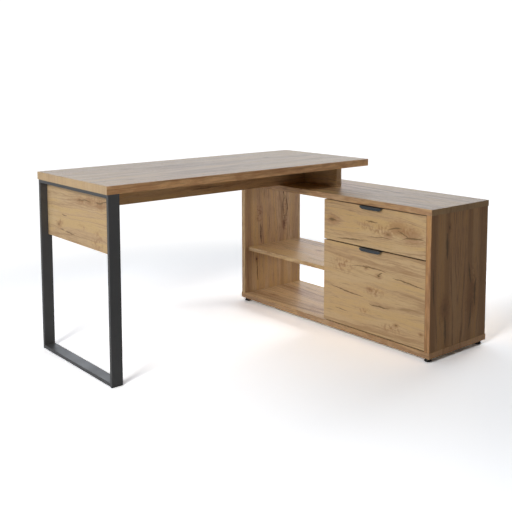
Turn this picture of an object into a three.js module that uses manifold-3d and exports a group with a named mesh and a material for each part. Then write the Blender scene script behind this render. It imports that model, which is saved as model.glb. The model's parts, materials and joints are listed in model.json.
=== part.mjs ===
// Corner desk: a thick desk top carried by a welded flat-tube loop at its left end and, at its right end,
// by a long low cabinet that stands at a right angle to it. The cabinet has an open two-level shelf
// bay at its far end and two drawers, one shallow and one deep, at its near end.
//
// Millimetres, +Z up. +X runs along the desk top from the steel loop to the cabinet, and +Y from the
// user's side of the desk top to its far side. Lengths are laid out from the desk top's front left
// corner and the floor; the last lines move the origin to the middle of the footprint.

import * as THREE from 'three';
import { mergeVertices } from 'three/addons/utils/BufferGeometryUtils.js';
import Module from 'manifold-3d';

// ---- Driving dimensions ----

const DESK = { height: 760, length: 1400, depth: 580, thickness: 32 };

const TUBE = { width: 47, depth: 14, wall: 1.5 };
const LOOP_INSET = 5;
const GLIDE_HEIGHT = 2;
const GLIDE_PLUG_HEIGHT = 12;

const SIDE_PANEL = { thickness: 16, bottom: 492 };
const APRON = { thickness: 22, front: 300 };
const SUPPORT = { thickness: 32, x: 1272, front: 82 };

const CABINET = { x: 1104, y: -607, depth: 386, length: 1200, top: 628, board: 25, bottom: 18 };
const CARCASS_INSET = 2;
const DIVIDER_FACE_Y = -3;
const BACK_PANEL_THICKNESS = 16;

const SHELF = { thickness: 18, setback: 24, endGap: 1, backGap: 3 };
const PIN = { radius: 2.4, length: 16, chamfer: 0.6, holeRadius: 2.6, holeDepth: 10 };
const PIN_ROWS = { lowest: 260, pitch: 32, count: 5 };
const PIN_COLUMN_FRONT = 46;
const PIN_COLUMN_BACK = 54;

const FOOT = { radius: 16, chamfer: 1.5, rim: 6, neckRadius: 13.5, inset: 24, studRadius: 4, studLength: 12 };

const FRONT = { thickness: 18, inset: 4, gap: 1.5, left: DIVIDER_FACE_Y, right: -577.5 };
const BOX = { wall: 12, length: 310, bottom: 4, groove: 6, grooveHeight: 12 };
const SLIDE = {
  length: 300,
  thickness: 12.7,
  height: 45,
  sheet: 1.2,
  setback: 4,
  step: 3,
  outerTip: 9.5,
  middleTip: 11,
  innerTip: 6,
  aboveBox: 46,
};
const DRAWERS = [
  { label: 'upper', frontLow: 419.5, frontHigh: 598.5, boxLow: 446, boxHigh: 560 },
  { label: 'lower', frontLow: 46, frontHigh: 414.5, boxLow: 62, boxHigh: 330 },
];

const HANDLE = { length: 118, sheet: 1.5, reach: 16, lip: 13, leg: 26, cornerRun: 12, cornerRise: 5.5 };
const HANDLE_SCREW = { spacing: 84, radius: 1.6, headRadius: 3.2, head: 1.8, length: 13, aboveLegEdge: 3 };

const FRAME_SCREW = { radius: 2.6, headRadius: 4.8, head: 3, bite: 18, accessRadius: 6.5 };
const FRAME_SCREW_ENDS = [70, 210];

const GAP = 0.3;
const ROUND_SEGMENTS = 12;

// ---- Derived levels and faces ----

const underTop = DESK.height - DESK.thickness;
const loopLeft = LOOP_INSET;
const loopRight = LOOP_INSET + TUBE.width;
const railUnderside = underTop - TUBE.depth;

const cabinetRight = CABINET.x + CABINET.depth;
const cabinetFar = CABINET.y + CABINET.length;
const bayFloor = CABINET.bottom + CABINET.board;
const bayCeiling = CABINET.top - CABINET.board;
const carcassFront = CABINET.x + CARCASS_INSET;
const carcassBack = cabinetRight - CARCASS_INSET;
const farInner = cabinetFar - CARCASS_INSET - CABINET.board;
const nearInner = CABINET.y + CARCASS_INSET + CABINET.board;
const dividerNear = DIVIDER_FACE_Y - CABINET.board;

const frontFace = CABINET.x + FRONT.inset;
const frontBack = frontFace + FRONT.thickness;
const boxLeft = dividerNear - SLIDE.thickness;
const boxRight = nearInner + SLIDE.thickness;
const boxBack = frontBack + BOX.length;

// ---- Materials ----

function material(color, roughness, metalness) {
  return new THREE.MeshStandardMaterial({ color, roughness, metalness });
}

const oak = material(0xab8a5e, 0.55, 0);
const drawerBoard = material(0xb9b4ab, 0.6, 0);
const powderCoat = material(0x3d3f42, 0.5, 0.4);
const handleMetal = material(0x3c464c, 0.4, 0.6);
const blackPlastic = material(0x141414, 0.6, 0);
const zincSteel = material(0xb4b8bb, 0.35, 0.9);

// ---- Solid modelling helpers ----

const wasm = await Module();
wasm.setup();

function toSolid(geometry) {
  const bare = geometry.clone();
  bare.deleteAttribute('normal');
  bare.deleteAttribute('uv');
  const merged = mergeVertices(bare, 1e-4);
  return new wasm.Manifold(new wasm.Mesh({
    numProp: 3,
    vertProperties: merged.attributes.position.array,
    triVerts: new Uint32Array(merged.index.array),
  }));
}

function toGeometry(solid) {
  const mesh = solid.getMesh();
  const geometry = new THREE.BufferGeometry();
  geometry.setAttribute('position', new THREE.BufferAttribute(mesh.vertProperties, 3));
  geometry.setIndex(new THREE.BufferAttribute(mesh.triVerts, 1));
  return geometry;
}

function cut(geometry, cutters) {
  const solid = cutters.reduce((left, cutter) => left.subtract(toSolid(cutter)), toSolid(geometry));
  return toGeometry(solid);
}

function join(geometries) {
  const [first, ...others] = geometries.map(toSolid);
  return toGeometry(others.reduce((sum, other) => sum.add(other), first));
}

// A box between two opposite corners, given in the layout's own coordinates.
function block(low, high) {
  const size = high.map((value, i) => value - low[i]);
  const geometry = new THREE.BoxGeometry(...size);
  return geometry.translate(...low.map((value, i) => value + size[i] / 2));
}

// A round bar or drill centred on a point, along one axis.
function rod(axis, centre, radius, length) {
  const geometry = new THREE.CylinderGeometry(radius, radius, length, ROUND_SEGMENTS);
  if (axis === 'x') geometry.rotateZ(-Math.PI / 2);
  if (axis === 'z') geometry.rotateX(Math.PI / 2);
  return geometry.translate(...centre);
}

// A turned piece from [radius, height] pairs that start and end on its own axis, which points up.
function turned(profile) {
  const points = profile.map(([radius, height]) => new THREE.Vector2(radius, height));
  return new THREE.LatheGeometry(points, ROUND_SEGMENTS);
}

// An outline of [y, z] pairs drawn out along X from x0 to x1.
function prismAlongX(outline, x0, x1) {
  const shape = new THREE.Shape(outline.map(([y, z]) => new THREE.Vector2(y, z)));
  const geometry = new THREE.ExtrudeGeometry(shape, { depth: x1 - x0, bevelEnabled: false });
  const turn = new THREE.Matrix4().makeBasis(
    new THREE.Vector3(0, 1, 0),
    new THREE.Vector3(0, 0, 1),
    new THREE.Vector3(1, 0, 0),
  );
  return geometry.applyMatrix4(turn).translate(x0, 0, 0);
}

// Adds a named mesh whose own origin is at the middle of its shape.
function add(group, name, geometry, surface) {
  geometry.computeBoundingBox();
  const middle = geometry.boundingBox.getCenter(new THREE.Vector3());
  geometry.translate(-middle.x, -middle.y, -middle.z);
  geometry.computeVertexNormals();
  const mesh = new THREE.Mesh(geometry, surface);
  mesh.name = name;
  mesh.position.copy(middle);
  group.add(mesh);
}

// ---- Desk top and the boards that hang from it ----

const frameScrewX = (loopLeft + loopRight) / 2;
const frameScrewYs = FRAME_SCREW_ENDS.flatMap((y) => [y, DESK.depth - y]).sort((a, b) => a - b);

// Upright drills on the frame screws' lines, centred at the height z.
function frameScrewHoles(z, radius, length) {
  return frameScrewYs.map((y) => rod('z', [frameScrewX, y, z], radius, length));
}

function makeDeskBoards() {
  const group = new THREE.Group();
  const top = block([0, 0, underTop], [DESK.length, DESK.depth, DESK.height]);
  const pilotHoles = frameScrewHoles(underTop, FRAME_SCREW.radius + GAP, 2 * FRAME_SCREW.bite);
  add(group, 'desk_top', cut(top, pilotHoles), oak);

  const sideOuter = loopRight - SIDE_PANEL.thickness;
  add(group, 'side_panel', block(
    [sideOuter, TUBE.depth, SIDE_PANEL.bottom],
    [loopRight, DESK.depth - TUBE.depth, railUnderside],
  ), oak);
  add(group, 'apron_board', block(
    [loopRight, APRON.front, CABINET.top],
    [SUPPORT.x, APRON.front + APRON.thickness, underTop],
  ), oak);
  add(group, 'support_board', block(
    [SUPPORT.x, SUPPORT.front, CABINET.top],
    [SUPPORT.x + SUPPORT.thickness, DESK.depth - SUPPORT.front, underTop],
  ), oak);
  return group;
}

// ---- Steel loop ----

// A length of flat rectangular tube, open at both ends. The axis it runs along is 'y' or 'z'.
function tube(axis, low, high) {
  const innerLow = low.map((value) => value + TUBE.wall);
  const innerHigh = high.map((value) => value - TUBE.wall);
  const run = axis === 'y' ? 1 : 2;
  innerLow[run] = low[run] - 1;
  innerHigh[run] = high[run] + 1;
  return cut(block(low, high), [block(innerLow, innerHigh)]);
}

function makeLoopFrame() {
  const group = new THREE.Group();
  const farPost = DESK.depth - TUBE.depth;

  const posts = [['front', 0], ['back', farPost]];
  posts.forEach(([label, y]) => {
    const post = tube('z', [loopLeft, y, GLIDE_HEIGHT], [loopRight, y + TUBE.depth, underTop]);
    add(group, `frame_${label}_post`, post, powderCoat);

    const plate = block([loopLeft, y, 0], [loopRight, y + TUBE.depth, GLIDE_HEIGHT]);
    const inset = TUBE.wall + GAP;
    const plug = block(
      [loopLeft + inset, y + inset, GLIDE_HEIGHT / 2],
      [loopRight - inset, y + TUBE.depth - inset, GLIDE_HEIGHT + GLIDE_PLUG_HEIGHT],
    );
    add(group, `frame_${label}_glide`, join([plate, plug]), blackPlastic);
  });

  const throughWall = 2 * TUBE.wall + 2;
  const topRail = tube('y', [loopLeft, TUBE.depth, railUnderside], [loopRight, farPost, underTop]);
  const screwHoles = frameScrewHoles(underTop, FRAME_SCREW.radius + GAP, throughWall);
  const accessHoles = frameScrewHoles(railUnderside, FRAME_SCREW.accessRadius, throughWall);
  add(group, 'frame_top_rail', cut(topRail, [...screwHoles, ...accessHoles]), powderCoat);

  const railTop = GLIDE_HEIGHT + TUBE.depth;
  const bottomRail = tube('y', [loopLeft, TUBE.depth, GLIDE_HEIGHT], [loopRight, farPost, railTop]);
  add(group, 'frame_bottom_rail', bottomRail, powderCoat);

  const seat = underTop - TUBE.wall;
  frameScrewYs.forEach((y, i) => {
    const screw = turned([
      [0, -FRAME_SCREW.head],
      [FRAME_SCREW.headRadius * 0.75, -FRAME_SCREW.head],
      [FRAME_SCREW.headRadius, -FRAME_SCREW.head * 0.5],
      [FRAME_SCREW.headRadius, 0],
      [FRAME_SCREW.radius, 0],
      [FRAME_SCREW.radius, FRAME_SCREW.bite - FRAME_SCREW.radius],
      [0, FRAME_SCREW.bite],
    ]).rotateX(Math.PI / 2);
    add(group, `frame_screw_${i + 1}`, screw.translate(frameScrewX, y, seat), zincSteel);
  });
  return group;
}

// ---- Cabinet carcass ----

const pinColumns = [carcassFront + PIN_COLUMN_FRONT, carcassBack - PIN_COLUMN_BACK];
const pinRows = Array.from({ length: PIN_ROWS.count }, (_, i) => PIN_ROWS.lowest + i * PIN_ROWS.pitch);

// The drills for the blind shelf-pin holes of a panel whose face towards the open bay is at y.
function pinHoles(y) {
  const drill = (x, z) => rod('y', [x, y, z], PIN.holeRadius, 2 * PIN.holeDepth);
  return pinColumns.flatMap((x) => pinRows.map((z) => drill(x, z)));
}

const footCentres = [
  [CABINET.x + FOOT.inset, CABINET.y + FOOT.inset],
  [cabinetRight - FOOT.inset, CABINET.y + FOOT.inset],
  [CABINET.x + FOOT.inset, cabinetFar - FOOT.inset],
  [cabinetRight - FOOT.inset, cabinetFar - FOOT.inset],
];

function makeCarcass() {
  const group = new THREE.Group();
  const panel = (name, y0, y1, x0, holes) => {
    const board = block([x0, y0, bayFloor], [carcassBack, y1, bayCeiling]);
    add(group, name, holes.length > 0 ? cut(board, holes) : board, oak);
  };

  const top = block([CABINET.x, CABINET.y, bayCeiling], [cabinetRight, cabinetFar, CABINET.top]);
  add(group, 'cabinet_top', top, oak);
  const bottom = block([CABINET.x, CABINET.y, CABINET.bottom], [cabinetRight, cabinetFar, bayFloor]);
  const studHole = ([x, y]) => rod('z', [x, y, CABINET.bottom], FOOT.studRadius + GAP, 2 * FOOT.studLength);
  add(group, 'cabinet_bottom', cut(bottom, footCentres.map(studHole)), oak);

  panel('far_end_panel', farInner, farInner + CABINET.board, carcassFront, pinHoles(farInner));
  panel('near_end_panel', nearInner - CABINET.board, nearInner, carcassFront, []);
  panel('divider_panel', dividerNear, DIVIDER_FACE_Y, frontBack + FRONT.gap, pinHoles(DIVIDER_FACE_Y));
  add(group, 'cabinet_back_panel', block(
    [carcassBack - BACK_PANEL_THICKNESS, nearInner, bayFloor],
    [carcassBack, dividerNear, bayCeiling],
  ), oak);
  return group;
}

function makeShelf() {
  const group = new THREE.Group();
  const underside = PIN_ROWS.lowest + PIN.radius;
  add(group, 'shelf', block(
    [CABINET.x + SHELF.setback, DIVIDER_FACE_Y + SHELF.endGap, underside],
    [carcassBack - SHELF.backGap, farInner - SHELF.endGap, underside + SHELF.thickness],
  ), oak);

  // Each pin sits half in its panel and half out in the bay, with a small chamfer at both ends.
  const half = PIN.length / 2;
  const pinProfile = [
    [0, -half],
    [PIN.radius - PIN.chamfer, -half],
    [PIN.radius, PIN.chamfer - half],
    [PIN.radius, half - PIN.chamfer],
    [PIN.radius - PIN.chamfer, half],
    [0, half],
  ];
  const places = [farInner, DIVIDER_FACE_Y].flatMap((y) => pinColumns.map((x) => [x, y, PIN_ROWS.lowest]));
  places.forEach((place, i) => {
    add(group, `shelf_pin_${i + 1}`, turned(pinProfile).translate(...place), zincSteel);
  });
  return group;
}

function makeFeet() {
  const group = new THREE.Group();
  const height = CABINET.bottom;
  footCentres.forEach(([x, y], i) => {
    const foot = turned([
      [0, 0],
      [FOOT.radius - FOOT.chamfer, 0],
      [FOOT.radius, FOOT.chamfer],
      [FOOT.radius, FOOT.rim],
      [FOOT.neckRadius, FOOT.rim + FOOT.radius - FOOT.neckRadius],
      [FOOT.neckRadius, height],
      [FOOT.studRadius, height],
      [FOOT.studRadius, height + FOOT.studLength - GAP],
      [0, height + FOOT.studLength - GAP],
    ]).rotateX(Math.PI / 2);
    add(group, `cabinet_foot_${i + 1}`, foot.translate(x, y, 0), blackPlastic);
  });
  return group;
}

// ---- Drawers ----

// An edge pull of folded sheet: a leg behind the front, a flange over its top edge and a lip hanging
// in front of it, with the lip's two lower corners cut off at a slant.
function handleGeometry(topEdge, middleY, screwHoles) {
  const low = middleY - HANDLE.length / 2;
  const high = middleY + HANDLE.length / 2;
  const lipFace = frontFace - HANDLE.reach;
  const crown = topEdge + HANDLE.sheet;
  const flange = block([lipFace, low, topEdge], [frontBack + HANDLE.sheet, high, crown]);
  const leg = block([frontBack, low, crown - HANDLE.leg], [frontBack + HANDLE.sheet, high, crown]);
  const lip = prismAlongX([
    [low, crown],
    [low, crown - HANDLE.lip + HANDLE.cornerRise],
    [low + HANDLE.cornerRun, crown - HANDLE.lip],
    [high - HANDLE.cornerRun, crown - HANDLE.lip],
    [high, crown - HANDLE.lip + HANDLE.cornerRise],
    [high, crown],
  ], lipFace, lipFace + HANDLE.sheet);
  return cut(join([flange, leg, lip]), screwHoles);
}

// The drawer side with the groove that holds the drawer bottom. Inner faces the drawer's inside.
function drawerSide(outer, inner, low, high) {
  const floor = low + BOX.grooveHeight;
  const inward = Math.sign(inner - outer);
  const grooveEnd = inner - inward * BOX.groove;
  return prismAlongX([
    [outer, low],
    [inner, low],
    [inner, floor],
    [grooveEnd, floor],
    [grooveEnd, floor + BOX.bottom + GAP],
    [inner, floor + BOX.bottom + GAP],
    [inner, high],
    [outer, high],
  ], frontBack, boxBack);
}

// One member of a telescopic slide: a C section whose web is at the distance web from the cabinet's
// side, and whose two flanges point to the distance tip. Side is +1 where the slide grows towards +Y.
function slideMember(wallY, side, web, tip, halfHeight, middleZ) {
  const towardsTip = Math.sign(tip - web);
  const y = (distance) => wallY + side * distance;
  const webInner = web + towardsTip * SLIDE.sheet;
  const outline = [
    [y(web), middleZ - halfHeight],
    [y(tip), middleZ - halfHeight],
    [y(tip), middleZ - halfHeight + SLIDE.sheet],
    [y(webInner), middleZ - halfHeight + SLIDE.sheet],
    [y(webInner), middleZ + halfHeight - SLIDE.sheet],
    [y(tip), middleZ + halfHeight - SLIDE.sheet],
    [y(tip), middleZ + halfHeight],
    [y(web), middleZ + halfHeight],
  ];
  const start = frontBack + SLIDE.setback;
  return prismAlongX(outline, start, start + SLIDE.length);
}

function makeSlides(group, label, middleZ) {
  const half = SLIDE.height / 2;
  const members = [
    ['outer', 0, SLIDE.outerTip, half],
    ['middle', SLIDE.step, SLIDE.middleTip, half - SLIDE.step],
    ['inner', SLIDE.thickness, SLIDE.innerTip, half - 2 * SLIDE.step],
  ];
  const walls = [['left', dividerNear, -1], ['right', nearInner, 1]];
  walls.forEach(([hand, wallY, side]) => {
    members.forEach(([member, web, tip, halfHeight]) => {
      const geometry = slideMember(wallY, side, web, tip, halfHeight, middleZ);
      add(group, `${label}_slide_${member}_${hand}`, geometry, zincSteel);
    });
  });
}

function makeDrawer({ label, frontLow, frontHigh, boxLow, boxHigh }) {
  const group = new THREE.Group();
  const piece = (name, geometry, surface) => add(group, `${label}_${name}`, geometry, surface);

  const middleY = (FRONT.left + FRONT.right) / 2;
  const legEdge = frontHigh + HANDLE.sheet - HANDLE.leg;
  const screwZ = legEdge + HANDLE_SCREW.aboveLegEdge + HANDLE_SCREW.headRadius;
  const screwYs = [middleY - HANDLE_SCREW.spacing / 2, middleY + HANDLE_SCREW.spacing / 2];
  const drillRadius = HANDLE_SCREW.radius + GAP;
  const drills = screwYs.map((y) => rod('x', [frontBack, y, screwZ], drillRadius, 2 * HANDLE_SCREW.length));

  const front = block([frontFace, FRONT.right, frontLow], [frontBack, FRONT.left, frontHigh]);
  piece('drawer_front', cut(front, drills), oak);
  piece('drawer_handle', handleGeometry(frontHigh, middleY, drills), handleMetal);
  screwYs.forEach((y, i) => {
    const screw = turned([
      [0, -HANDLE_SCREW.head],
      [HANDLE_SCREW.headRadius * 0.7, -HANDLE_SCREW.head],
      [HANDLE_SCREW.headRadius, 0],
      [HANDLE_SCREW.radius, 0],
      [HANDLE_SCREW.radius, HANDLE_SCREW.length - HANDLE_SCREW.radius],
      [0, HANDLE_SCREW.length],
    ]).rotateZ(Math.PI / 2);
    piece(`handle_screw_${i + 1}`, screw.translate(frontBack + HANDLE.sheet, y, screwZ), zincSteel);
  });

  piece('drawer_left_side', drawerSide(boxLeft, boxLeft - BOX.wall, boxLow, boxHigh), drawerBoard);
  piece('drawer_right_side', drawerSide(boxRight, boxRight + BOX.wall, boxLow, boxHigh), drawerBoard);
  const floor = boxLow + BOX.grooveHeight;
  const grooveReach = BOX.wall - BOX.groove + GAP;
  piece('drawer_bottom', block(
    [frontBack + GAP, boxRight + grooveReach, floor + GAP / 2],
    [boxBack - GAP, boxLeft - grooveReach, floor + BOX.bottom + GAP / 2],
  ), drawerBoard);
  piece('drawer_back', block(
    [boxBack - BOX.wall, boxRight + BOX.wall, floor + BOX.bottom + GAP],
    [boxBack, boxLeft - BOX.wall, boxHigh],
  ), drawerBoard);

  makeSlides(group, label, boxLow + SLIDE.aboveBox);
  return group;
}

// ---- Whole desk ----

const cornerDesk = new THREE.Group();
cornerDesk.add(makeDeskBoards(), makeLoopFrame(), makeCarcass(), makeShelf(), makeFeet());
cornerDesk.add(...DRAWERS.map(makeDrawer));
cornerDesk.position.set(-cabinetRight / 2, -(CABINET.y + cabinetFar) / 2, 0);

export default cornerDesk;
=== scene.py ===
"""The corner desk's looks: a procedural wild-oak decor, powder-coated steel, plastic and zinc on the
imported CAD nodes, the weld beads that the CAD leaves out, and a white studio. Lengths are in metres,
except the decor's marks, which are in millimetres."""

import json
import math

import bmesh
import bpy
from mathutils import Matrix, Vector


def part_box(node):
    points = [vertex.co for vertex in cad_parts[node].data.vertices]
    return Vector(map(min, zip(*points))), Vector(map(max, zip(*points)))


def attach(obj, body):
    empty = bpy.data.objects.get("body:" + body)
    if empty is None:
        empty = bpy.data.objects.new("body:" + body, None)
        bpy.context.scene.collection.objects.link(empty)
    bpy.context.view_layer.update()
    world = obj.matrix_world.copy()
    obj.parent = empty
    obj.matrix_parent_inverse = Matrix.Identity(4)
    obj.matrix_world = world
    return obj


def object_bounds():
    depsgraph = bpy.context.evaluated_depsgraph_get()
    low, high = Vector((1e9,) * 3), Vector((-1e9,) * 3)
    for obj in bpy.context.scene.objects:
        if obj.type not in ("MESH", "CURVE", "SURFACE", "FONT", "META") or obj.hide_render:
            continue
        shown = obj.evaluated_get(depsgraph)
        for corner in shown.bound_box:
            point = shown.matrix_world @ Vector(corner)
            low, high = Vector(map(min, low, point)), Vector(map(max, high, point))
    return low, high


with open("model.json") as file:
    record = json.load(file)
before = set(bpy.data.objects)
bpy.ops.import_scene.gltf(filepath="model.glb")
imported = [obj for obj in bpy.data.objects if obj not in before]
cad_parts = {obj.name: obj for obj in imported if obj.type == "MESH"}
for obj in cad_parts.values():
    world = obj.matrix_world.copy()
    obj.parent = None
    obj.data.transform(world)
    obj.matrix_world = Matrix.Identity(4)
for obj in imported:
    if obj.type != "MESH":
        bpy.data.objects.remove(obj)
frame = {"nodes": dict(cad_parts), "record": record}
cad_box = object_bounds()
nodes = frame["nodes"]

MM = 0.001
X, Y, Z = 0, 1, 2


# ---- Node graphs ----


def linear(red, green, blue):
    """An sRGB colour of 0 to 255 values as the linear colour that shaders take."""
    def channel(value):
        share = value / 255
        return share / 12.92 if share <= 0.04045 else ((share + 0.055) / 1.055) ** 2.4

    return (channel(red), channel(green), channel(blue), 1.0)


class Graph:
    """Short names for making and joining shader nodes."""

    def __init__(self, tree):
        self.tree = tree

    def add(self, kind, **settings):
        node = self.tree.nodes.new(kind)
        for name, value in settings.items():
            setattr(node, name, value)
        return node

    def put(self, socket, value):
        if isinstance(value, bpy.types.NodeSocket):
            self.tree.links.new(value, socket)
        else:
            socket.default_value = value

    def math(self, operation, *values, clamp=False):
        node = self.add("ShaderNodeMath", operation=operation, use_clamp=clamp)
        for socket, value in zip(node.inputs, values):
            self.put(socket, value)
        return node.outputs[0]

    def times(self, first, second):
        return self.math("MULTIPLY", first, second)

    def reach(self, first, second):
        """The length of the vector that has these two parts."""
        squares = self.math("ADD", self.times(first, first), self.times(second, second))
        return self.math("SQRT", squares)

    def vector_math(self, operation, *values):
        node = self.add("ShaderNodeVectorMath", operation=operation)
        for socket, value in zip(node.inputs, values):
            self.put(socket, value)
        return node.outputs["Value" if operation == "LENGTH" else "Vector"]

    def combine(self, x, y, z):
        node = self.add("ShaderNodeCombineXYZ")
        for socket, value in zip(node.inputs, (x, y, z)):
            self.put(socket, value)
        return node.outputs[0]

    def separate(self, vector):
        node = self.add("ShaderNodeSeparateXYZ")
        self.put(node.inputs[0], vector)
        return node.outputs

    def noise(self, vector, scale=1.0, detail=2.0, roughness=0.5):
        node = self.add("ShaderNodeTexNoise")
        self.put(node.inputs["Vector"], vector)
        self.put(node.inputs["Scale"], scale)
        self.put(node.inputs["Detail"], detail)
        self.put(node.inputs["Roughness"], roughness)
        return node.outputs["Fac"]

    def smooth(self, value, low, high, to_low=0.0, to_high=1.0):
        node = self.add("ShaderNodeMapRange", interpolation_type="SMOOTHSTEP")
        for socket, item in zip(node.inputs, (value, low, high, to_low, to_high)):
            self.put(socket, item)
        return node.outputs[0]

    def ramp(self, value, stops):
        node = self.add("ShaderNodeValToRGB")
        points = node.color_ramp.elements
        while len(points) < len(stops):
            points.new(0.5)
        for point, (place, colour) in zip(points, stops):
            point.position = place
            point.color = colour
        self.put(node.inputs[0], value)
        return node.outputs[0]

    def mix(self, factor, first, second, blend="MIX"):
        node = self.add("ShaderNodeMix", data_type="RGBA", blend_type=blend)
        self.put(node.inputs[0], factor)
        self.put(node.inputs[6], first)
        self.put(node.inputs[7], second)
        return node.outputs[2]

    def mix_number(self, factor, first, second):
        node = self.add("ShaderNodeMix", data_type="FLOAT")
        self.put(node.inputs[0], factor)
        self.put(node.inputs[2], first)
        self.put(node.inputs[3], second)
        return node.outputs[0]

    def group(self, tree, **values):
        node = self.add("ShaderNodeGroup", node_tree=tree)
        for name, value in values.items():
            self.put(node.inputs[name.replace("_", " ")], value)
        return node.outputs

    def bump(self, height, distance, strength):
        node = self.add("ShaderNodeBump")
        self.put(node.inputs["Height"], height)
        self.put(node.inputs["Distance"], distance)
        self.put(node.inputs["Strength"], strength)
        return node.outputs[0]


def new_group(name, inputs, outputs):
    """An empty node group: its tree, its graph, its inputs, and a function that sets an output."""
    tree = bpy.data.node_groups.new(name, "ShaderNodeTree")
    for label, kind in inputs:
        tree.interface.new_socket(label, in_out="INPUT", socket_type=kind)
    for label, kind in outputs:
        tree.interface.new_socket(label, in_out="OUTPUT", socket_type=kind)
    graph = Graph(tree)
    source = graph.add("NodeGroupInput").outputs
    sink = graph.add("NodeGroupOutput").inputs
    return tree, graph, source, lambda label, value: graph.put(sink[label], value)


def new_material(name):
    """A material with one Principled shader, as the material, its graph and the shader."""
    material = bpy.data.materials.new(name)
    material.use_nodes = True
    graph = Graph(material.node_tree)
    shader = material.node_tree.nodes["Principled BSDF"]
    return material, graph, shader


VECTOR, FLOAT, COLOUR = "NodeSocketVector", "NodeSocketFloat", "NodeSocketColor"


# ---- The oak decor ----
# The print is a flat sheet. Its first coordinate runs along the grain and its second across it; the third
# only tells one sheet from another. Noise stretches are in cycles per metre.


def knot_group():
    """One knot: it pushes the grain aside, and gives its dark heart and the stain round it."""
    tree, g, source, out = new_group(
        "Knot",
        [("Place", VECTOR), ("Along", FLOAT), ("Across", FLOAT), ("Radius", FLOAT)],
        [("Push", FLOAT), ("Heart", FLOAT), ("Stain", FLOAT)],
    )
    x, y, sheet = g.separate(source["Place"])
    dx = g.math("SUBTRACT", x, source["Along"])
    dy = g.math("SUBTRACT", y, source["Across"])
    outline = g.combine(g.times(x, 60.0), g.times(y, 130.0), sheet)
    ragged = g.noise(outline, detail=3.0)
    ragged = g.math("MULTIPLY_ADD", ragged, 1.5, 0.25)
    rx = g.math("DIVIDE", dx, g.times(source["Radius"], 1.7))
    ry = g.math("DIVIDE", dy, source["Radius"])
    reach = g.reach(rx, ry)
    rough_reach = g.times(reach, ragged)
    out("Heart", g.smooth(rough_reach, 1.1, 0.35))
    out("Stain", g.smooth(rough_reach, 3.4, 0.6))
    wide = g.times(reach, -0.16)
    fade = g.math("EXPONENT", g.times(wide, reach))
    out("Push", g.times(g.times(dy, fade), -0.75))
    return tree


THINNEST_VEIN = 0.00004


def crack_group():
    """One dark vein: a thin line along the grain, widest at its middle, that can bow and lean."""
    tree, g, source, out = new_group(
        "Crack",
        [("Place", VECTOR), ("Along", FLOAT), ("Across", FLOAT), ("Reach", FLOAT), ("Width", FLOAT),
         ("Bow", FLOAT), ("Lean", FLOAT)],
        [("Mask", FLOAT)],
    )
    x, y, sheet = g.separate(source["Place"])
    run = g.math("DIVIDE", g.math("SUBTRACT", x, source["Along"]), source["Reach"])
    run_squared = g.times(run, run)
    wobble = g.noise(g.combine(g.times(x, 22.0), y, sheet), detail=3.0)
    wobble = g.math("MULTIPLY_ADD", wobble, 0.012, -0.006)
    line = g.math("ADD", source["Across"], g.times(source["Bow"], run_squared))
    line = g.math("ADD", line, g.times(source["Lean"], run))
    away = g.math("ABSOLUTE", g.math("SUBTRACT", g.math("ADD", y, wobble), line))
    flow = g.noise(g.combine(g.times(x, 55.0), sheet, y), detail=2.0)
    taper = g.math("SUBTRACT", 1.0, run_squared, clamp=True)
    width = g.times(g.times(source["Width"], taper), g.times(flow, 2.7))
    width = g.math("MAXIMUM", width, THINNEST_VEIN)
    line_mask = g.smooth(g.math("DIVIDE", away, width), 1.5, 0.2)
    out("Mask", g.times(line_mask, g.smooth(taper, 0.0, 0.25)))
    return tree


def burl_group():
    """A cloud of short brown flecks, as round a buried knot."""
    tree, g, source, out = new_group(
        "Burl",
        [("Place", VECTOR), ("Along", FLOAT), ("Across", FLOAT), ("Length", FLOAT), ("Height", FLOAT)],
        [("Mask", FLOAT)],
    )
    x, y, sheet = g.separate(source["Place"])
    rx = g.math("DIVIDE", g.math("SUBTRACT", x, source["Along"]), source["Length"])
    ry = g.math("DIVIDE", g.math("SUBTRACT", y, source["Across"]), source["Height"])
    reach = g.reach(rx, ry)
    fleck_place = g.combine(g.times(x, 75.0), g.times(y, 55.0), sheet)
    flecks = g.noise(fleck_place, detail=3.0)
    flecks = g.smooth(flecks, 0.42, 0.66)
    out("Mask", g.times(flecks, g.smooth(reach, 1.15, 0.2)))
    return tree


OAK_PLAIN = linear(199, 167, 125)
OAK_GOLD = linear(205, 170, 116)
OAK_PALE = linear(208, 184, 148)
OAK_TAN = linear(197, 163, 126)
OAK_GREY = linear(170, 139, 108)
OAK_BROWN = linear(140, 100, 70)
OAK_RUST = linear(142, 94, 62)
OAK_VEIN = linear(70, 45, 29)
OAK_KNOT = linear(46, 29, 19)


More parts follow.
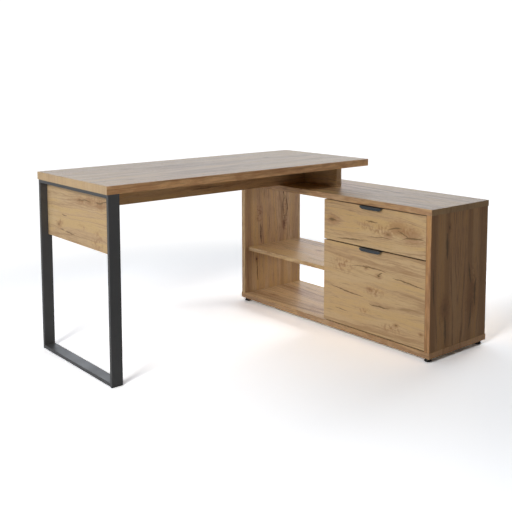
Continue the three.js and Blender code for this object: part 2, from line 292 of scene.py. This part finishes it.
def print_group():
    """The decor without its marks: bands, streaks, fibres and pores, bent into flames along one line."""
    tree, g, source, out = new_group(
        "Oak print",
        [("Place", VECTOR), ("Flame across", FLOAT), ("Flame slope", FLOAT), ("Flame width", FLOAT)],
        [("Color", COLOUR), ("Height", FLOAT), ("Pores", FLOAT)],
    )
    x, y, sheet = g.separate(source["Place"])

    def sample(along, across, offset, detail, roughness, line):
        """Noise stretched along the grain. offset makes it differ from the other samples."""
        place = g.combine(g.times(x, along), g.times(line, across), g.math("ADD", sheet, offset))
        return g.noise(place, detail=detail, roughness=roughness)

    slow = sample(1.6, 5.0, 1.7, 2.0, 0.5, y)
    quick = sample(7.0, 22.0, 4.1, 2.0, 0.5, y)
    line = g.math("ADD", y, g.math("MULTIPLY_ADD", slow, 0.05, -0.025))
    line = g.math("ADD", line, g.math("MULTIPLY_ADD", quick, 0.014, -0.007))

    # Growth rings cut at a slant: they arch across the flame's middle and run straight far from it.
    away = g.math("SUBTRACT", line, source["Flame across"])
    width = source["Flame width"]
    rings = g.math("ADD", g.reach(away, width), g.times(x, source["Flame slope"]))
    # The flame's two sides aren't mirror images of each other.
    side = g.smooth(away, -0.01, 0.01, 0.0, 0.02)
    rings_line = g.math("ADD", rings, side)

    band = sample(0.9, 11.0, 7.3, 3.0, 0.55, rings_line)
    streak = sample(2.6, 70.0, 11.9, 4.0, 0.62, rings_line)
    ring = sample(1.2, 190.0, 15.2, 2.0, 0.5, rings_line)
    fibre = sample(9.0, 520.0, 19.4, 2.0, 0.6, line)
    pore = sample(55.0, 1900.0, 23.8, 1.0, 0.5, line)
    dash = sample(17.0, 230.0, 33.1, 3.0, 0.6, line)
    patch = sample(2.8, 12.0, 29.5, 2.0, 0.5, line)
    haze = sample(2.0, 16.0, 41.3, 3.0, 0.6, line)

    tone = g.math("MULTIPLY_ADD", g.math("SUBTRACT", band, 0.5), 2.0, 0.46)
    tone = g.math("ADD", tone, g.math("MULTIPLY_ADD", streak, 2.0, -1.0))
    tone = g.math("ADD", tone, g.math("MULTIPLY_ADD", ring, 0.9, -0.45))
    tone = g.math("ADD", tone, g.math("MULTIPLY_ADD", dash, 1.3, -0.65))
    tone = g.math("ADD", tone, g.math("MULTIPLY_ADD", fibre, 0.7, -0.35), clamp=True)
    body = g.ramp(tone, [(0.25, OAK_GOLD), (0.48, OAK_TAN), (0.74, OAK_GREY), (1.0, OAK_BROWN)])
    warm = g.times(g.smooth(patch, 0.40, 0.66), g.smooth(band, 0.62, 0.38))
    colour = g.mix(g.times(warm, 0.45), body, OAK_GOLD)
    pale = g.times(g.smooth(haze, 0.48, 0.64), g.smooth(tone, 0.75, 0.35))
    colour = g.mix(g.times(pale, 0.6), colour, OAK_PALE)
    rust = g.times(g.smooth(patch, 0.55, 0.36), g.smooth(ring, 0.50, 0.66))
    colour = g.mix(g.times(rust, 0.40), colour, OAK_RUST)

    vein = g.times(g.smooth(streak, 0.60, 0.74), g.smooth(patch, 0.40, 0.62))
    colour = g.mix(g.times(vein, 0.60), colour, OAK_VEIN)
    flecks = g.times(g.smooth(dash, 0.58, 0.70), g.smooth(quick, 0.42, 0.6))
    colour = g.mix(g.times(flecks, 0.42), colour, OAK_VEIN)
    pores = g.smooth(pore, 0.56, 0.70)
    colour = g.mix(g.times(pores, 0.35), colour, OAK_VEIN)
    out("Color", colour)
    out("Pores", pores)
    height = g.math("MULTIPLY_ADD", fibre, 0.5, g.times(streak, 0.5))
    out("Height", g.math("SUBTRACT", height, g.times(pores, 0.8)))
    return tree


KNOT, CRACK, BURL, PRINT = knot_group(), crack_group(), burl_group(), print_group()


class Sheet:
    """A stretch of printed decor. Its marks are placed in millimetres, along and across the grain:
    knots as (along, across, radius, darkness), cracks as (along, across, reach, width, bow, lean),
    burls as (along, across, length, height), and stripes, which run the whole length, as
    (across, half width, darkness). flame is (across, slope, width). calm, 0 to 1, evens out the
    streaks."""

    def __init__(self, number, flame, calm=0.0, knots=(), cracks=(), burls=(), stripes=()):
        self.number = number
        self.flame = flame
        self.calm = calm
        self.knots = knots
        self.cracks = cracks
        self.burls = burls
        self.stripes = stripes


# Boards whose decor is tinted away from the rest. The near end panel's darker, redder tint is a painted
# shade with its own redder tone; the far end panel's lighter, cooler tint is a painted light; the side
# panel's darker, cooler tint is partly its paler tone and partly a painted shade; the apron's is its own
# redder tone.
BOARD_TINTS_AND_PAINTED_LIGHT = {
    "side_panel": (0.84, 0.88, 0.95, 1.0),
    "apron_board": (0.94, 0.87, 0.84, 1.0),
    "near_end_panel": (0.84, 0.63, 0.53, 1.0),
    "far_end_panel": (1.04, 1.03, 1.08, 1.0),
}
# The edge banding's tints: along a board's long edges, and over its short ones. They hold the banding's
# own
# redder tone and painted light and shade: the desk top's front and back edges and the cabinet bottom's end
# edges are lightened, a painted light; the cabinet top's end edges and the drawer fronts' long edges are
# darkened, a painted shade, the drawer fronts' so that the gaps round them read black.
EDGE_TINTS_AND_PAINTED_LIGHT = {
    "desk_top": ((1.40, 1.16, 1.0, 1.0), (0.84, 0.89, 1.0, 1.0)),
    "cabinet_top": ((0.88, 0.78, 0.80, 1.0), (0.72, 0.62, 0.58, 1.0)),
    "cabinet_bottom": ((0.82, 0.73, 0.76, 1.0), (1.25, 1.02, 0.96, 1.0)),
    "upper_drawer_front": ((0.26, 0.22, 0.20, 1.0), (1.0, 1.0, 1.0, 1.0)),
    "lower_drawer_front": ((0.26, 0.22, 0.20, 1.0), (1.0, 1.0, 1.0, 1.0)),
}
# How far each kind of mark hides the print, 0 to 1.
COVER = {"stripe": 0.55, "stain": 0.65, "fleck": 0.78, "blotch": 0.45, "vein": 0.92, "heart": 0.9}
# How square on to an axis a face has to be to count as facing along it.
FACING = 0.7
BOARD_ROUGHNESS = 0.40
PORE_ROUGHNESS = 0.16
GRAIN_DEPTH = 0.00018


class BoardPrint:
    """Where a board's points lie on its sheet. s and t run along and across the print's grain."""

    def __init__(self, g, box, along, thick, sheet, start, flip):
        low, high = box
        across = X + Y + Z - along - thick
        coordinates = g.add("ShaderNodeTexCoord").outputs
        place = g.separate(coordinates["Object"])
        normal = g.separate(coordinates["Normal"])

        def from_corner(axis, sign, offset):
            corner = low[axis] if sign > 0 else high[axis]
            return g.math("MULTIPLY_ADD", place[axis], float(sign), offset * MM - sign * corner)

        def facing(axis):
            return g.math("GREATER_THAN", g.math("ABSOLUTE", normal[axis]), FACING)

        # On a long edge the print runs along it; over a short edge the face's own stripes carry on.
        depth = from_corner(thick, 1, 0.0)
        self.long_edge = facing(across)
        self.short_edge = facing(along)
        self.s = g.mix_number(self.short_edge, from_corner(along, flip[0], start[0]), depth)
        self.t = g.mix_number(self.long_edge, from_corner(across, flip[1], start[1]), depth)
        self.face = g.math("SUBTRACT", 1.0, g.math("MAXIMUM", self.long_edge, self.short_edge))
        # Each edge and each of the two faces shows its own stretch of the print.
        self.number = g.math("MULTIPLY_ADD", self.long_edge, 3.7, sheet.number * 5.0)
        far_side = g.times(g.math("GREATER_THAN", normal[thick], 0.5), 1.9)
        self.position = g.combine(self.s, self.t, g.math("ADD", self.number, far_side))


def sheet_marks(g, board, sheet):
    """Masks of a sheet's marks, and how far its knots push the grain aside."""
    marks = {"heart": 0.0, "stain": 0.0, "vein": 0.0, "fleck": 0.0, "stripe": 0.0}
    push = 0.0

    def darken(kind, mask):
        marks[kind] = g.math("MAXIMUM", marks[kind], mask)

    for x, y, radius, darkness in sheet.knots:
        knot = g.group(KNOT, Place=board.position, Along=x * MM, Across=y * MM, Radius=radius * MM)
        darken("heart", g.times(knot["Heart"], darkness))
        darken("stain", knot["Stain"])
        push = g.math("ADD", push, knot["Push"])
    for x, y, reach, width, bow, lean in sheet.cracks:
        crack = g.group(
            CRACK, Place=board.position, Along=x * MM, Across=y * MM, Reach=reach * MM,
            Width=width * MM, Bow=bow * MM, Lean=lean * MM,
        )
        darken("vein", crack["Mask"])
    for x, y, length, height in sheet.burls:
        burl = g.group(
            BURL, Place=board.position, Along=x * MM, Across=y * MM, Length=length * MM,
            Height=height * MM,
        )
        darken("fleck", burl["Mask"])
    for y, half, darkness in sheet.stripes:
        away = g.math("ABSOLUTE", g.math("SUBTRACT", board.t, y * MM))
        darken("stripe", g.smooth(away, half * MM, 0.3 * half * MM, 0.0, darkness))
    return marks, push


def edge_blotches(g, board):
    """Rust-coloured blotches that the banding has along a board's long edges."""
    place = g.combine(g.times(board.s, 16.0), g.times(board.t, 60.0), board.number)
    blotch = g.noise(place, detail=3.0)
    return g.times(g.smooth(blotch, 0.46, 0.62), board.long_edge)


def tint_board_and_paint_light(g, name, board, colour):
    """A board's and its edge banding's tints, partly painted light and shade, and its corners a little
    lighter.
    """
    # The board and edge tints are partly the decor's own tone and partly painted light and shade.
    if name in BOARD_TINTS_AND_PAINTED_LIGHT:
        colour = g.mix(1.0, colour, BOARD_TINTS_AND_PAINTED_LIGHT[name], "MULTIPLY")
    if name in EDGE_TINTS_AND_PAINTED_LIGHT:
        along_edge, over_edge = EDGE_TINTS_AND_PAINTED_LIGHT[name]
        colour = g.mix(board.long_edge, colour, g.mix(1.0, colour, along_edge, "MULTIPLY"))
        colour = g.mix(board.short_edge, colour, g.mix(1.0, colour, over_edge, "MULTIPLY"))
    pointiness = g.add("ShaderNodeNewGeometry").outputs["Pointiness"]
    corner_sharpness = g.math("ABSOLUTE", g.math("SUBTRACT", pointiness, 0.5))
    return g.mix(g.smooth(corner_sharpness, 0.02, 0.12, 0.0, 0.22), colour, OAK_GOLD)


def oak_material(name, box, along, thick, sheet, start, flip):
    """The decor on one board. along and thick are the axes of the grain and of the board's thickness.
    The sheet's corner lies at the board's lowest or highest corner, as flip says, moved by start."""
    material, g, shader = new_material(f"oak_{name}")
    board = BoardPrint(g, box, along, thick, sheet, start, flip)
    marks, push = sheet_marks(g, board, sheet)

    shift = g.combine(0.0, g.times(push, board.face), 0.0)
    pushed = g.vector_math("ADD", board.position, shift)
    middle, slope, width = sheet.flame
    oak = g.group(
        PRINT, Place=pushed, Flame_across=middle * MM, Flame_slope=slope, Flame_width=width * MM
    )

    # The end grain over a short edge is half as streaky as the face.
    even = g.math("MULTIPLY_ADD", board.short_edge, 0.5 * (1.0 - sheet.calm), sheet.calm)
    colour = g.mix(even, oak["Color"], OAK_PLAIN)
    for kind, tint in (("stripe", OAK_BROWN), ("stain", OAK_RUST), ("fleck", OAK_RUST)):
        colour = g.mix(g.times(g.times(marks[kind], board.face), COVER[kind]), colour, tint)
    colour = g.mix(g.times(edge_blotches(g, board), COVER["blotch"]), colour, OAK_RUST)
    for kind, tint in (("vein", OAK_VEIN), ("heart", OAK_KNOT)):
        colour = g.mix(g.times(g.times(marks[kind], board.face), COVER[kind]), colour, tint)
    g.put(shader.inputs["Base Color"], tint_board_and_paint_light(g, name, board, colour))

    roughness = g.math("MULTIPLY_ADD", oak["Pores"], PORE_ROUGHNESS, BOARD_ROUGHNESS)
    g.put(shader.inputs["Roughness"], roughness)
    shader.inputs["Specular IOR Level"].default_value = 0.25
    sunk = g.times(g.math("ADD", marks["vein"], marks["heart"]), 0.7)
    relief = g.math("SUBTRACT", oak["Height"], sunk)
    g.put(shader.inputs["Normal"], g.bump(relief, GRAIN_DEPTH, 0.8))
    return material


# Marks measured along the grain and across it from the corner that start and flip name.
TOP_SHEET = Sheet(
    1, flame=(260, 0.03, 60), calm=0.25,
    knots=[(320, 405, 7, 0.5), (1080, 365, 7, 0.5), (170, 110, 6, 0.4)],
    cracks=[(620, 300, 160, 1.4, 8, 5), (1180, 180, 120, 1.2, -6, 3)],
)
SIDE_SHEET = Sheet(
    2, flame=(30, 0.05, 18), calm=0.26,
    knots=[(285, 42, 6, 0.5), (365, 38, 9, 0.2), (450, 40, 10, 0.2), (100, 165, 6, 0.8)],
    cracks=[(150, 120, 26, 1.8, 0, 1), (130, 182, 20, 2.0, 0, 1), (196, 187, 44, 2.4, 2, 2),
            (320, 38, 60, 2.2, 6, -3), (450, 36, 40, 2.6, -6, -6), (500, 24, 40, 2.2, 4, -8)],
    burls=[(425, 190, 60, 44), (435, 178, 40, 50), (120, 150, 26, 20), (300, 42, 70, 22),
           (440, 34, 90, 26), (300, 150, 50, 14)],
)
UPPER_SHEET = Sheet(
    3, flame=(95, 0.05, 22), calm=0.20,
    knots=[(52, 86, 10, 0.5), (430, 72, 14, 0.0), (500, 92, 16, 0.0), (377, 105, 7, 0.6)],
    cracks=[(52, 86, 28, 3.4, 0, 0), (286, 63, 36, 2.4, 1, -1), (414, 73, 40, 2.6, 5, -7),
            (512, 101, 62, 2.7, 8, -6), (460, 92, 34, 2.2, 4, 14), (174, 156, 98, 2.3, 2, -9),
            (330, 125, 80, 1.4, 3, -6)],
    burls=[(250, 82, 60, 26), (330, 92, 110, 30), (480, 80, 70, 26)],
)
LOWER_SHEET = Sheet(
    4, flame=(215, 0.03, 45), calm=0.36,
    knots=[(328, 108, 5, 1.0), (427, 299, 4, 0.8), (557, 306, 4, 0.5), (280, 176, 5, 0.3),
           (255, 86, 4, 0.5)],
    cracks=[(272, 80, 112, 2.0, 10, -2), (488, 107, 90, 2.6, 2, 8), (143, 211, 106, 2.4, -3, 8),
            (334, 241, 64, 2.4, -4, -2), (108, 300, 40, 1.4, 0, 1), (336, 98, 14, 2.4, 0, -7)],
    burls=[(118, 95, 90, 46), (310, 185, 70, 26), (240, 275, 50, 18), (400, 320, 70, 24)],
)
END_SHEET = Sheet(
    5, flame=(270, 0.05, 26), calm=0.12,
    knots=[(395, 78, 5, 1.0), (235, 265, 6, 0.2)],
    cracks=[(140, 288, 64, 3.0, -12, 3), (135, 258, 60, 2.4, 12, -2), (225, 268, 50, 2.8, 4, -4),
            (265, 106, 55, 3.4, 2, 2), (455, 82, 60, 2.8, 0, 3), (60, 262, 55, 2.2, 4, 8)],
    burls=[(160, 96, 62, 30), (190, 272, 120, 26)],
    stripes=[(25, 30, 0.8), (255, 18, 0.7), (350, 40, 0.5)],
)
APRON_SHEET = Sheet(
    6, flame=(50, 0.02, 30), calm=0.1,
    knots=[(451, 40, 8, 1.0), (759, 30, 9, 1.0)],
    cracks=[(315, 34, 60, 2.4, 3, 4), (620, 70, 90, 1.6, 0, -3)],
)
LONG_SHEET = Sheet(
    7, flame=(190, 0.04, 40),
    knots=[(240, 120, 7, 0.7), (820, 250, 8, 0.7)],
    cracks=[(400, 210, 120, 1.6, 6, 4), (900, 120, 100, 1.5, -5, 3)],
    burls=[(560, 90, 80, 30)],
)
SHELF_SHEET = Sheet(
    8, flame=(150, 0.04, 35),
    knots=[(300, 210, 7, 0.6)],
    cracks=[(210, 120, 90, 1.8, 4, 3), (430, 60, 70, 1.7, 3, -4)],
)
NEAR_SHEET = Sheet(
    9, flame=(190, 0.05, 26),
    knots=[(60, 118, 6, 1.0), (392, 96, 14, 0.35), (345, 284, 12, 0.2), (400, 278, 16, 0.25)],
    cracks=[(136, 105, 60, 5.5, 0, 2), (486, 101, 70, 5.0, 0, 3), (270, 262, 50, 4.0, 0, 10),
            (360, 300, 66, 5.0, 8, -2), (462, 270, 60, 4.0, -6, -8), (300, 20, 90, 3.0, 3, 4)],
    burls=[(392, 96, 60, 40), (330, 280, 150, 34)],
    stripes=[(16, 34, 1.3), (108, 24, 1.0), (262, 26, 1.1), (352, 40, 1.2)],
)

# name: (grain axis, thickness axis, sheet, start, flip)
OAK_BOARDS = {
    "desk_top": (X, Z, TOP_SHEET, (0, 0), (1, 1)),
    "side_panel": (Y, X, SIDE_SHEET, (0, 0), (-1, -1)),
    "apron_board": (X, Y, APRON_SHEET, (0, 0), (1, -1)),
    "support_board": (Y, X, LONG_SHEET, (600, 40), (1, -1)),
    "cabinet_top": (Y, Z, LONG_SHEET, (0, 0), (-1, 1)),
    "cabinet_bottom": (Y, Z, LONG_SHEET, (90, 30), (-1, 1)),
    "far_end_panel": (Z, Y, END_SHEET, (0, 0), (-1, 1)),
    "near_end_panel": (Z, Y, NEAR_SHEET, (0, 0), (-1, 1)),
    "divider_panel": (Z, Y, END_SHEET, (-80, 20), (-1, 1)),
    "cabinet_back_panel": (Z, X, END_SHEET, (-120, -60), (-1, 1)),
    "shelf": (Y, Z, SHELF_SHEET, (0, 0), (-1, 1)),
    "upper_drawer_front": (Y, X, UPPER_SHEET, (0, 0), (-1, -1)),
    "lower_drawer_front": (Y, X, LOWER_SHEET, (0, 0), (-1, -1)),
}


def paint(name, material):
    """Gives a CAD node one material of its own."""
    mesh = nodes[name].data
    mesh.materials.clear()
    mesh.materials.append(material)


def soften(name, width, segments=2):
    """Breaks the sharp edges of a CAD node with a small bevel."""
    bevel = nodes[name].modifiers.new("softened edges", "BEVEL")
    bevel.width = width
    bevel.segments = segments
    bevel.limit_method = "ANGLE"
    bevel.angle_limit = math.radians(40)


BOARD_BEVEL = 0.0008

for name, cut in OAK_BOARDS.items():
    paint(name, oak_material(name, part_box(name), *cut))
    soften(name, BOARD_BEVEL)


# ---- Steel, plastic and plain board ----


def scaled(colour, share):
    """A colour made lighter or darker."""
    return tuple(channel * share for channel in colour[:3]) + (1.0,)


def coated_steel(name, colour, roughness, specks):
    """Powder coat: a fine orange-peel skin with tiny darker specks and faint rubbed corners."""
    material, g, shader = new_material(name)
    place = g.add("ShaderNodeTexCoord").outputs["Object"]
    peel = g.noise(place, scale=950.0, detail=2.0)
    cloud = g.noise(place, scale=9.0, detail=3.0)
    grain = g.smooth(g.noise(place, scale=2600.0, detail=1.0), 0.55, 0.72)
    base = g.mix(g.smooth(cloud, 0.3, 0.7), colour, scaled(colour, 0.82))
    base = g.mix(g.times(grain, specks), base, scaled(colour, 0.45))
    rubbed = g.add("ShaderNodeNewGeometry").outputs["Pointiness"]
    base = g.mix(g.smooth(rubbed, 0.52, 0.62, 0.0, 0.35), base, scaled(colour, 2.2))
    g.put(shader.inputs["Base Color"], base)
    patchy = g.smooth(cloud, 0.3, 0.7, roughness - 0.05, roughness + 0.07)
    g.put(shader.inputs["Roughness"], patchy)
    g.put(shader.inputs["Normal"], g.bump(peel, 0.00006, 0.7))
    return material


def moulded_plastic():
    """Matt black plastic with a fine spark-eroded texture."""
    material, g, shader = new_material("black_plastic")
    place = g.add("ShaderNodeTexCoord").outputs["Object"]
    erosion = g.noise(place, scale=1400.0, detail=2.0)
    dust = g.smooth(g.noise(place, scale=60.0, detail=3.0), 0.45, 0.75)
    base = g.mix(dust, (0.010, 0.010, 0.010, 1.0), (0.022, 0.021, 0.020, 1.0))
    g.put(shader.inputs["Base Color"], base)
    g.put(shader.inputs["Roughness"], g.smooth(dust, 0.0, 1.0, 0.48, 0.66))
    g.put(shader.inputs["Normal"], g.bump(erosion, 0.00005, 0.8))
    return material


def zinc_plate():
    """Bright zinc: pale spangle clouds under fine rolling lines that run along X."""
    material, g, shader = new_material("zinc_steel")
    place = g.add("ShaderNodeTexCoord").outputs["Object"]
    x, y, z = g.separate(place)
    lines = g.noise(g.combine(g.times(x, 12.0), g.times(y, 1800.0), g.times(z, 1800.0)))
    cloud = g.noise(place, scale=70.0, detail=3.0)
    base = g.mix(cloud, (0.50, 0.51, 0.53, 1.0), (0.70, 0.71, 0.72, 1.0))
    g.put(shader.inputs["Base Color"], base)
    shader.inputs["Metallic"].default_value = 1.0
    g.put(shader.inputs["Roughness"], g.math("MULTIPLY_ADD", lines, 0.22, 0.22))
    g.put(shader.inputs["Normal"], g.bump(lines, 0.00003, 0.6))
    return material


def coated_board():
    """The drawer boxes' plain pale board: a faint linen weave and soft clouds."""
    material, g, shader = new_material("drawer_board")
    place = g.add("ShaderNodeTexCoord").outputs["Object"]
    x, y, z = g.separate(place)
    warp_place = g.combine(g.times(x, 30.0), g.times(y, 900.0), g.times(z, 900.0))
    weft_place = g.combine(g.times(x, 900.0), g.times(y, 30.0), g.times(z, 30.0))
    warp = g.noise(warp_place, detail=1.0)
    weft = g.noise(weft_place, detail=1.0)
    weave = g.times(g.math("ADD", warp, weft), 0.5)
    cloud = g.noise(place, scale=12.0, detail=3.0)
    base = g.mix(g.smooth(weave, 0.4, 0.6), linear(178, 172, 163), linear(197, 192, 184))
    base = g.mix(g.smooth(cloud, 0.35, 0.65, 0.0, 0.3), base, linear(168, 161, 151))
    g.put(shader.inputs["Base Color"], base)
    g.put(shader.inputs["Roughness"], g.smooth(weave, 0.4, 0.6, 0.5, 0.62))
    g.put(shader.inputs["Normal"], g.bump(weave, 0.00006, 0.7))
    return material


powder_coat = coated_steel("frame_steel", linear(61, 61, 61), 0.42, 0.5)
handle_coat = coated_steel("handle_metal", linear(45, 51, 55), 0.34, 0.3)
plastic = moulded_plastic()
zinc = zinc_plate()
drawer_board = coated_board()

# slot: (material, bevel width, bevel segments)
SLOT_MATERIALS = {
    "frame_steel": (powder_coat, 0.0012, 3),
    "handle_metal": (handle_coat, 0.0005, 2),
    "black_plastic": (plastic, 0.0004, 2),
    "zinc_steel": (zinc, 0.0002, 2),
    "drawer_board": (drawer_board, 0.0005, 2),
}
for part in frame["record"]["subparts"]:
    if part["material_slot"] in SLOT_MATERIALS:
        material, bevel_width, segments = SLOT_MATERIALS[part["material_slot"]]
        paint(part["node"], material)
        soften(part["node"], bevel_width, segments)


# ---- Small detail ----


def new_piece(name, form, material, body):
    """A finished bmesh as a named piece that rides on a body, in the material it is given."""
    mesh = bpy.data.meshes.new(name)
    form.to_mesh(mesh)
    form.free()
    mesh.materials.append(material)
    mesh.polygons.foreach_set("use_smooth", [True] * len(mesh.polygons))
    piece = bpy.data.objects.new(name, mesh)
    bpy.context.scene.collection.objects.link(piece)
    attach(piece, body)


BEAD_LEG = 0.0032
# The bead's root sinks this far into both tubes, and its ends stop this far inside the tubes' faces.
BEAD_ROOT = 0.0006
BEAD_INSET = 0.0012
BEAD_RINGS = 36
BEAD_ARC = 6
# The ripple's height, as a share of the bead, and its run over the bead's length, in radians.
RIPPLE = 0.07
RIPPLE_RUN = 58.0
# The bead's face is hollow by this share at its middle, and its ends taper to END_SIZE of it.
HOLLOW = 0.22
END_SIZE = 0.35


def weld_bead(name, corner, into_y, into_z, length):
    """A ground weld in the corner between a post and a rail: a bead along X with a shallow ripple."""
    form = bmesh.new()
    rows = []
    for step in range(BEAD_RINGS + 1):
        share = step / BEAD_RINGS
        end_taper = min(1.0, 6.0 * min(share, 1.0 - share) + END_SIZE)
        size = BEAD_LEG * end_taper * (1.0 + RIPPLE * math.sin(share * RIPPLE_RUN))
        x = corner[0] + share * length
        root = (x, corner[1] - into_y * BEAD_ROOT, corner[2] - into_z * BEAD_ROOT)
        row = [form.verts.new(root)]
        for turn in range(BEAD_ARC + 1):
            angle = turn / BEAD_ARC * math.pi / 2
            dip = 1.0 - HOLLOW * math.sin(2 * angle)
            y = corner[1] + into_y * size * math.cos(angle) * dip
            z = corner[2] + into_z * size * math.sin(angle) * dip
            row.append(form.verts.new((x, y, z)))
        rows.append(row)
    count = BEAD_ARC + 2
    for one, other in zip(rows, rows[1:]):
        for k in range(count):
            form.faces.new((one[k], one[(k + 1) % count], other[(k + 1) % count], other[k]))
    form.faces.new(rows[0])
    form.faces.new(list(reversed(rows[-1])))
    bmesh.ops.recalc_face_normals(form, faces=form.faces)
    new_piece(name, form, powder_coat, "desk")


front_low, front_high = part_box("frame_front_post")
back_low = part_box("frame_back_post")[0]
rail_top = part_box("frame_top_rail")[0].z
rail_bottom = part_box("frame_bottom_rail")[1].z
bead_start = front_low.x + BEAD_INSET
bead_length = front_high.x - front_low.x - 2 * BEAD_INSET
for label, z, into_z in (("top", rail_top, -1), ("bottom", rail_bottom, 1)):
    weld_bead(f"weld_front_{label}", (bead_start, front_high.y, z), 1, into_z, bead_length)
    weld_bead(f"weld_back_{label}", (bead_start, back_low.y, z), -1, into_z, bead_length)


# ---- Studio ----


# The bright back wall lies this way from the desk; the left wall is a quarter turn from it.
WALL_X, WALL_Y = 0.64, 0.77
WALL_LEVEL = 1.85
LEFT_LEVEL = 1.0
ROOM_LEVEL = 0.05
BACKDROP_LEVEL = 1.1
ROOM_TINT = (0.95, 1.0, 1.08, 1.0)
WHITE = (1.0, 1.0, 1.0, 1.0)


def studio_world():
    """A white backdrop that lights the desk from behind and from the left, and is dim elsewhere."""
    world = bpy.data.worlds.new("studio")
    bpy.context.scene.world = world
    world.use_nodes = True
    g = Graph(world.node_tree)
    background = world.node_tree.nodes["Background"]
    direction = g.add("ShaderNodeTexCoord").outputs["Generated"]
    x, y, z = g.separate(direction)
    toward_back = g.math("ADD", g.times(x, WALL_X), g.times(y, WALL_Y))
    toward_left = g.math("SUBTRACT", g.times(y, WALL_X), g.times(x, WALL_Y))
    # The direction's level part, kept above zero straight up and straight down.
    level_share = g.math("SQRT", g.math("SUBTRACT", 1.0001, g.times(z, z)))
    fade = g.smooth(z, 0.4, 0.8, 1.0, 0.0)
    wall = g.times(g.smooth(g.math("DIVIDE", toward_back, level_share), 0.70, 1.0), fade)
    left = g.times(g.smooth(g.math("DIVIDE", toward_left, level_share), 0.55, 1.0), fade)
    level = g.math("MULTIPLY_ADD", wall, WALL_LEVEL, ROOM_LEVEL)
    level = g.math("ADD", level, g.times(left, LEFT_LEVEL))
    seen = g.add("ShaderNodeLightPath").outputs["Is Camera Ray"]
    g.put(background.inputs["Strength"], g.mix_number(seen, level, BACKDROP_LEVEL))
    g.put(background.inputs["Color"], g.mix(seen, ROOM_TINT, WHITE))


def softbox(name, place, target, size, watts, spread=180.0):
    """A rectangular area light aimed at a point."""
    light = bpy.data.lights.new(name, "AREA")
    light.shape = "RECTANGLE"
    light.size, light.size_y = size
    light.energy = watts
    light.spread = math.radians(spread)
    lamp = bpy.data.objects.new(name, light)
    lamp.location = place
    lamp.visible_camera = False
    lamp.rotation_euler = (Vector(target) - Vector(place)).to_track_quat("-Z", "Y").to_euler()
    bpy.context.scene.collection.objects.link(lamp)


FLOOR_WHITE = (0.70, 0.70, 0.70, 1.0)
# The camera sees the floor brighter than it lights the desk, as one even white.
FLOOR_SEEN = (2.05, 2.05, 2.05, 1.0)
FLOOR_RADIUS = 14.0
# From RIM_START to RIM_END out from the desk the floor turns into a glow as bright as the backdrop.
RIM_START, RIM_END = 1.3, 2.6
GLOW_UNSEEN = 0.35
# The floor lies a hair under the feet, so that the two faces don't flicker.
FLOOR_DROP = 0.0002


def studio_floor():
    """A plain pale floor, with a rim that fades into the backdrop."""
    mesh = bpy.data.meshes.new("floor")
    form = bmesh.new()
    bmesh.ops.create_circle(form, cap_ends=True, radius=FLOOR_RADIUS, segments=96)
    form.to_mesh(mesh)
    form.free()
    floor = bpy.data.objects.new("floor", mesh)
    floor.location.z = cad_box[0].z - FLOOR_DROP
    bpy.context.scene.collection.objects.link(floor)
    material, g, shader = new_material("floor")
    place = g.add("ShaderNodeTexCoord").outputs["Object"]
    seen = g.add("ShaderNodeLightPath").outputs["Is Camera Ray"]
    g.put(shader.inputs["Base Color"], g.mix(seen, FLOOR_WHITE, FLOOR_SEEN))
    shader.inputs["Roughness"].default_value = 0.9
    shader.inputs["Specular IOR Level"].default_value = 0.0
    far = g.smooth(g.vector_math("LENGTH", place), RIM_START, RIM_END)
    glow = g.add("ShaderNodeEmission")
    glow_gain = BACKDROP_LEVEL - GLOW_UNSEEN
    g.put(glow.inputs["Strength"], g.math("MULTIPLY_ADD", seen, glow_gain, GLOW_UNSEEN))
    blend = g.add("ShaderNodeMixShader")
    g.put(blend.inputs[0], far)
    g.put(blend.inputs[1], shader.outputs[0])
    g.put(blend.inputs[2], glow.outputs[0])
    g.put(material.node_tree.nodes["Material Output"].inputs[0], blend.outputs[0])
    mesh.materials.append(material)


studio_world()
studio_floor()
softbox("key", (-3.5, -1.25, 2.15), (0.15, -0.1, 0.45), (1.1, 1.0), 80.0)
softbox("back_right", (2.6, 0.2, 0.8), (0.6, 0.4, 0.45), (1.2, 1.0), 10.0, 75.0)
softbox("low_left", (-3.0, 1.3, 0.3), (0.36, 0.5, 0.25), (1.4, 0.4), 2.2, 60.0)


# ---- Camera ----


# The photograph is a square of this many pixels, and the focal length is given in them.
FRAME_PIXELS = 512
FOCAL_PIXELS = 805.2
SENSOR_MM = 36.0
# Part of the photograph's vertical shift; the camera's tilt gives the rest.
SHIFT = -0.205
EYE = (-2.1865, -2.5621, 1.1778)
YAW, PITCH, ROLL = (math.radians(angle) for angle in (39.905, -5.713, 0.137))


def studio_camera():
    """The photograph's viewing point and lens."""
    camera = bpy.data.cameras.new("camera")
    camera.sensor_width = SENSOR_MM
    camera.lens = FOCAL_PIXELS / FRAME_PIXELS * SENSOR_MM
    camera.shift_y = SHIFT
    eye = bpy.data.objects.new("camera", camera)
    forward = Vector((math.sin(YAW) * math.cos(PITCH), math.cos(YAW) * math.cos(PITCH), math.sin(PITCH)))
    turn = forward.to_track_quat("-Z", "Y").to_matrix().to_4x4()
    eye.matrix_world = Matrix.Translation(EYE) @ turn @ Matrix.Rotation(-ROLL, 4, "Z")
    bpy.context.scene.collection.objects.link(eye)
    bpy.context.scene.camera = eye


studio_camera()
bpy.context.scene.view_settings.view_transform = "Standard"
